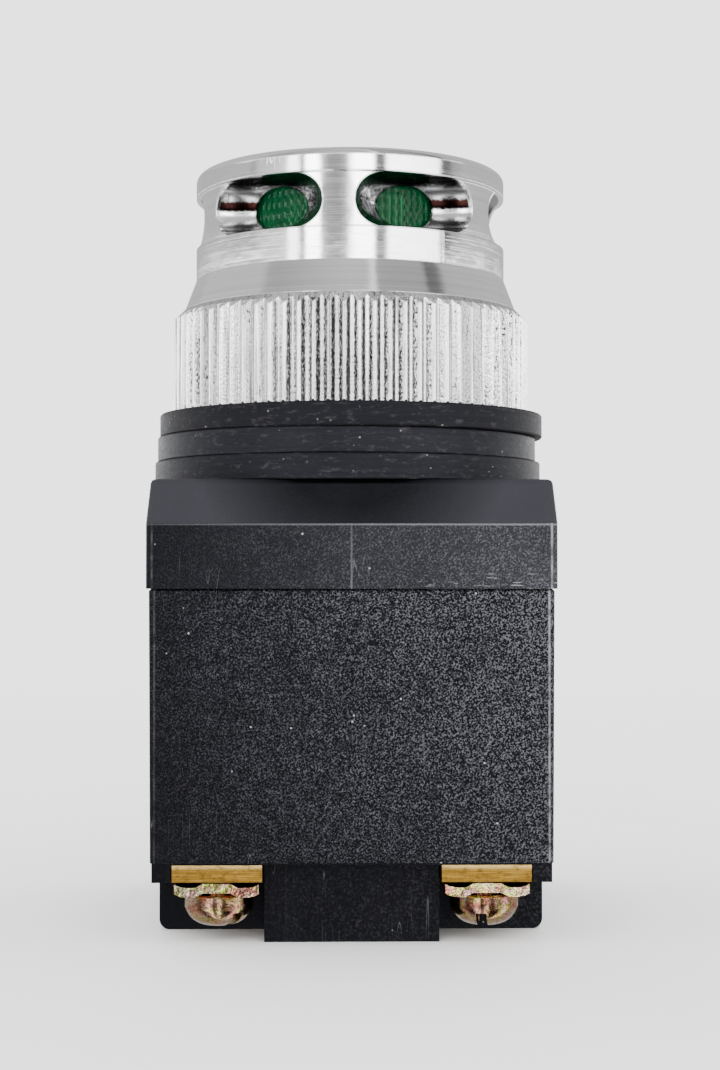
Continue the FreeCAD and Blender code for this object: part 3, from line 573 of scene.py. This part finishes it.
def paint_nodes():
    """Gives every CAD node its material."""
    brass = rolled_brass()
    silver = plain_metal("silver_tip", (0.6, 0.59, 0.56), (0.85, 0.84, 0.8), 0.2, 0.32, (3, 3, 3))
    steel = plain_metal("spring_steel", (0.42, 0.42, 0.43), (0.66, 0.66, 0.66), 0.2, 0.34,
                        (1, 1, 8))
    copper = plain_metal("bridge_copper", (0.5, 0.3, 0.17), (0.75, 0.5, 0.3), 0.24, 0.36,
                         (0.3, 6, 6))
    drawn = plain_metal("drawn_brass", (0.5, 0.36, 0.14), (0.74, 0.58, 0.28), 0.2, 0.34,
                        (4, 4, 0.5))
    nickel = plain_metal("nickel_plate", (0.55, 0.53, 0.49), (0.78, 0.76, 0.71), 0.14, 0.26,
                         (1, 1, 6))
    bright = plain_metal("bright_zinc", (0.48, 0.49, 0.5), (0.75, 0.76, 0.78), 0.2, 0.34, (2, 2, 2))
    inner = moulded_black("inner_plastic", 0.3, 0.4, 0.4)[0].material
    box = moulded_black("grained_plastic", 0.0, 0.165, 1.4, 0.05, corner=HALF_BOX)[0].material
    base = moulded_black("base_plastic", 0.0, 0.24, 0.3, streak=0.05)[0].material
    choices = {
        "window_guard": turned_aluminium(),
        "lock_ring": knurled_aluminium(),
        "gasket": ring_black("gasket_rubber", 0.5, 0.003, 2.0),
        "spacer_ring_upper": ring_black("spacer_rubber", 0.4, 0.005, 9.0),
        "spacer_ring_lower": ring_black("spacer_plastic", 0.42, 0.004, 15.0),
        "lens_cap": green_lens(),
        "diffuser": milky("diffuser_milky", 0.0),
        "lamp_bulb": milky("lamp_milky", 0.06),
        "button_sleeve": inner,
        "lamp_holder": inner,
        "sleeve_seal": seal_rubber(),
        "operator_housing": collar_black(),
        "contact_housing": box,
        "terminal_base": base,
        "contact_carrier": red_plastic(),
        "terminal_screws": yellow_zinc("screw_zinc", 0.06, 0.62),
        "clamp_plates": yellow_zinc("clamp_zinc", 0.16, 0.0),
        "assembly_screws": bright,
        "lamp_shell": drawn,
        "lamp_centre_contact": drawn,
        "lamp_base": nickel,
    }
    for name, node in nodes.items():
        if name in choices:
            material = choices[name]
        elif "tips" in name:
            material = silver
        elif "spring" in name:
            material = steel
        elif "bridge" in name:
            material = copper
        else:
            material = brass
        node.data.materials.clear()
        node.data.materials.append(material)
        for face in node.data.polygons:
            face.material_index = 0


# ---- copies of the coil springs ----
def closing_spring(name):
    """A copy of a coil spring, carried by the housing and shown in place of the spring itself.
    """
    source = nodes[name]
    coil = bpy.data.objects.new(name + "_coil", source.data.copy())
    bpy.context.scene.collection.objects.link(coil)
    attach(coil, "housing")
    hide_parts(name)
    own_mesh(coil)


# ---- studio ----
# Brightness of the plain backdrop, and of the soft light at the horizon and overhead.
PALE = 2.8
SOFT = (2.4, 3.3)
DAYLIGHT = (0.99, 0.995, 1.0, 1.0)

# What shiny surfaces mirror: (angle from the front in degrees, brightness), one list for each
# band of heights, from the terminals up to what is mirrored by the guard's sloping faces.
GUARD_LIGHTS = [
    (-180, 0.66), (-80, 0.66), (-76, 0.46), (-72, 0.8), (-56, 1.1), (-48, 1.5), (-45, 6.0),
    (-39, 6.0), (-37, 0.7), (-34, 0.4), (-32, 11.0), (-24, 11.0), (-21, 1.0), (-16, 0.45),
    (-8, 0.45), (-3, 0.9), (3, 10.0), (16, 10.0), (18, 0.25), (25, 0.25), (28, 7.0), (67, 5.0),
    (70, 0.12), (76, 0.14), (80, 0.45), (92, 0.66), (180, 0.66),
]
KNURL_LIGHTS = [
    (-180, 7.0), (-95, 7.0), (-60, 5.0), (-34, 2.6), (34, 2.6), (60, 5.0), (95, 7.0), (180, 7.0),
]
BODY_LIGHTS = [
    (-180, 0.9), (-95, 0.9), (-80, 0.2), (-60, 0.3), (-52, 1.8), (-34, 1.8), (-28, 0.12),
    (0, 0.1), (24, 0.16), (30, 2.8), (58, 2.8), (64, 0.25), (84, 0.3), (98, 1.0), (180, 1.0),
]
TERMINAL_LIGHTS = [
    (-180, 0.8), (-75, 0.8), (-62, 0.03), (-38, 0.03), (-34, 5.5), (-24, 5.5), (-20, 0.06),
    (-4, 0.06), (0, 4.2), (10, 4.2), (14, 0.04), (56, 0.04), (62, 3.2), (76, 3.2), (90, 0.8),
    (180, 0.8),
]
HIGH_LIGHTS = [
    (-180, 0.76), (-78, 0.76), (-73, 0.5), (-60, 0.5), (-30, 0.66), (0, 0.78), (15, 0.74),
    (18, 1.5), (21, 1.5), (23, 0.48), (64, 0.46), (67, 0.16), (77, 0.2), (83, 0.6), (180, 0.76),
]
GLINT = 4.0              # a narrow hoop in front, mirrored by the guard's rim
BRIGHTEST = 10.0         # the ramps hold brightness as a share of this

# Where one band of heights gives way to the next, as the z of a direction.
TERMINAL_TO_BODY = (-0.155, -0.145)
BODY_TO_KNURL = (0.06, 0.085)
KNURL_TO_GUARD = (0.142, 0.152)
GUARD_TO_HIGH = (0.36, 0.4)


def studio_floor(level):
    """A round pale floor that fades out far from the part and doesn't show in reflections."""
    steps, rings = 64, 8
    reach = 0.5
    turns = [2 * math.pi * i / steps for i in range(steps)]
    points = [(0.0, 0.0, level)]
    for ring in range(1, rings + 1):
        radius = reach * ring / rings
        points += [(radius * math.cos(turn), radius * math.sin(turn), level) for turn in turns]
    faces = [(0, 1 + i, 1 + (i + 1) % steps) for i in range(steps)]
    for ring in range(rings - 1):
        low, high = 1 + ring * steps, 1 + (ring + 1) * steps
        faces += [(low + i, high + i, high + (i + 1) % steps, low + (i + 1) % steps)
                  for i in range(steps)]
    mesh = bpy.data.meshes.new("studio_floor")
    mesh.from_pydata(points, [], faces)
    floor = bpy.data.objects.new("studio_floor", mesh)
    bpy.context.scene.collection.objects.link(floor)
    p = Paint("pale_paper")
    cloud = p.noise(p.stretch((0.02, 0.02, 0.02)), 1.0, 3.0)
    colour = p.ramp(cloud, [(0.3, (0.78, 0.78, 0.775)), (0.7, (0.82, 0.82, 0.815))])
    p.set(colour=colour, rough=0.8, specular=0.1)
    away = p.vector("LENGTH", p.stretch((1, 1, 0)))
    path = p.tree.nodes.new("ShaderNodeLightPath")
    fade = p.math("MAXIMUM", p.span(away, 90.0, 420.0), path.outputs["Is Glossy Ray"])
    clear = p.tree.nodes.new("ShaderNodeBsdfTransparent").outputs["BSDF"]
    p.put(p.output.inputs["Surface"], either(p, fade, p.shader.outputs["BSDF"], clear))
    floor.data.materials.append(p.material)
    floor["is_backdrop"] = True


def strips(web, turn, lights):
    """Upright light strips round the part, as a ramp over a whole turn that starts at the back."""
    return web.ramp(turn, [((at + 180) / 360, (bright / BRIGHTEST,) * 3) for at, bright in lights])


def background(web, colour, strength):
    node = web.tree.nodes.new("ShaderNodeBackground")
    web.put(node.inputs["Color"], colour)
    web.put(node.inputs["Strength"], strength)
    return node.outputs[0]


def either(web, choice, off, on):
    """Shader off where the choice is 0 and shader on where it is 1."""
    node = web.tree.nodes.new("ShaderNodeMixShader")
    web.put(node.inputs[0], choice)
    web.put(node.inputs[1], off)
    web.put(node.inputs[2], on)
    return node.outputs[0]


def studio_world():
    """Soft light all round; shiny surfaces mirror upright strips, set apart for each height."""
    world = bpy.data.worlds.new("studio_world")
    bpy.context.scene.world = world
    world.use_nodes = True
    web = Web(world.node_tree)
    web.place = web.tree.nodes.new("ShaderNodeTexCoord").outputs["Generated"]
    x, y, z = web.parts()
    turn = web.math("ARCTAN2", x, web.math("MULTIPLY", y, -1.0))
    turn = web.span(turn, -math.pi, math.pi)
    mirrored = strips(web, turn, TERMINAL_LIGHTS)
    for change, lights in ((TERMINAL_TO_BODY, BODY_LIGHTS), (BODY_TO_KNURL, KNURL_LIGHTS),
                           (KNURL_TO_GUARD, GUARD_LIGHTS), (GUARD_TO_HIGH, HIGH_LIGHTS)):
        mirrored = web.blend(web.span(z, *change), mirrored, strips(web, turn, lights))
    hoop = web.math("MULTIPLY", web.span(z, 0.31, 0.32), web.span(z, 0.35, 0.36, 1.0, 0.0))
    ahead = web.math("ABSOLUTE", web.math("SUBTRACT", turn, 0.5))
    ahead = web.span(ahead, 0.24, 0.27, 1.0, 0.0)
    mirrored = web.blend(web.math("MULTIPLY", hoop, ahead), mirrored, (GLINT / BRIGHTEST,) * 3)
    lamps = background(web, mirrored, BRIGHTEST)
    soft = background(web, DAYLIGHT, web.span(z, 0.0, 0.7, *SOFT))
    plain = background(web, DAYLIGHT, PALE)
    path = web.tree.nodes.new("ShaderNodeLightPath")
    lit = either(web, path.outputs["Is Glossy Ray"], soft, lamps)
    seen = either(web, path.outputs["Is Camera Ray"], lit, plain)
    out = web.tree.nodes.new("ShaderNodeOutputWorld")
    web.put(out.inputs["Surface"], seen)


def camera():
    """Nearly level, square on to the front, close enough for strong perspective."""
    data = bpy.data.cameras.new("camera")
    data.lens = 61.7
    data.sensor_width = 36.0
    data.sensor_fit = "AUTO"
    data.clip_start = 0.01
    thing = bpy.data.objects.new("camera", data)
    thing.location = (-1.9 * MM, -187.7 * MM, -13.1 * MM)
    thing.rotation_euler = (math.radians(91.02), 0.0, math.radians(-0.89))
    bpy.context.scene.collection.objects.link(thing)
    bpy.context.scene.camera = thing


paint_nodes()
closing_spring("return_spring")
closing_spring("carrier_spring")
studio_floor(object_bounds()[0][2])
studio_world()
camera()
